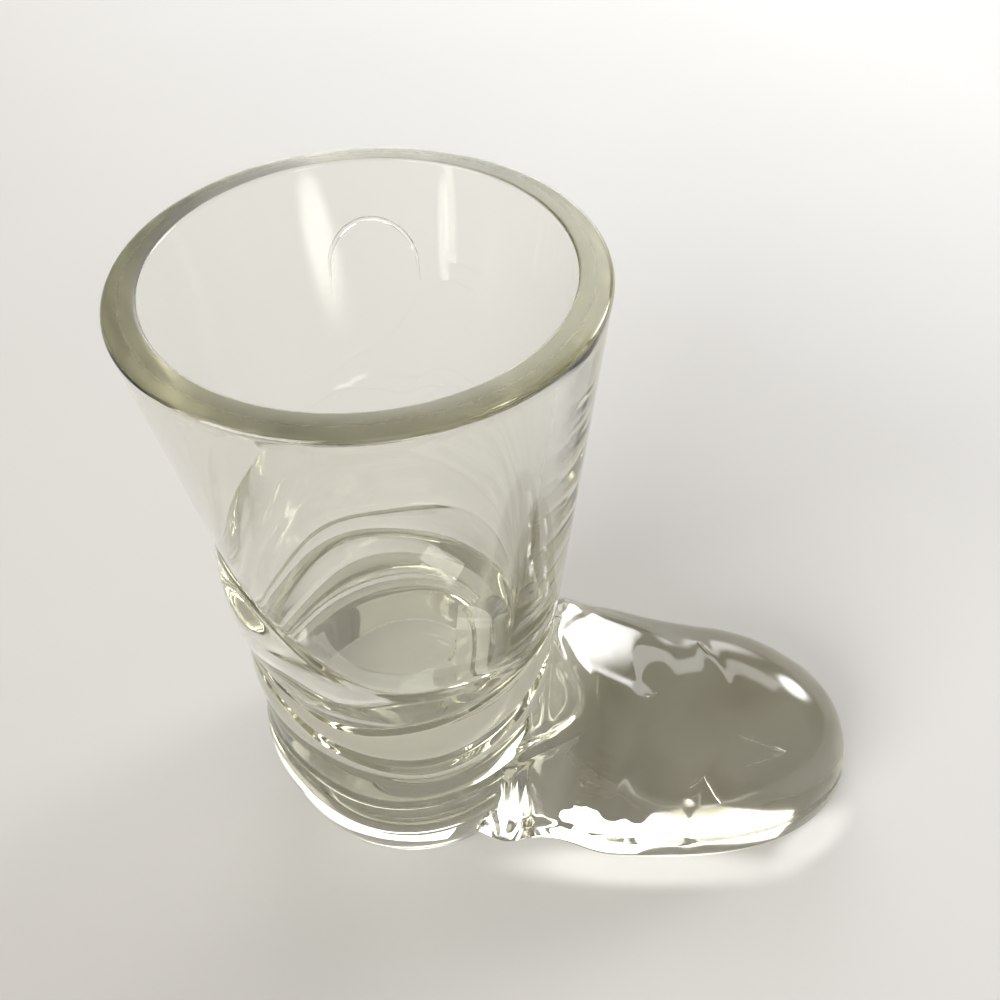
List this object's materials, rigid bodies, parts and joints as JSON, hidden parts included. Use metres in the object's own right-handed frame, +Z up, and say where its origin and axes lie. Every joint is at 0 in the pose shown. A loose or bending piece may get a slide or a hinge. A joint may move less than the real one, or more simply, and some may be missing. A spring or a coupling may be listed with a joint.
{
  "type": "boot shot glass",
  "caption": "Clear pressed-glass shot glass shaped as a slouched boot, with a round tapered cup in the shaft and a solid glass foot and heel.",
  "frame": {"origin": "on the shaft's axis at the centre of the heel's flat underside, on the floor", "axes": "+X towards the toe, +Y to the boot's left side, +Z up along the shaft"},
  "size_m": [0.0853, 0.0466, 0.082],
  "materials": {
    "clear_glass": "polished, clear with a faint yellow-green tint"
  },
  "bodies": {
    "root": {"rim": "clear_glass", "shaft": "clear_glass", "pull_strap": "clear_glass", "upper_fold_band": "clear_glass", "lower_fold_band": "clear_glass", "cup_base": "clear_glass", "heel_counter": "clear_glass", "heel": "clear_glass", "shank": "clear_glass", "vamp": "clear_glass", "toe_cap": "clear_glass", "sole": "clear_glass"}
  },
  "joints": []
}
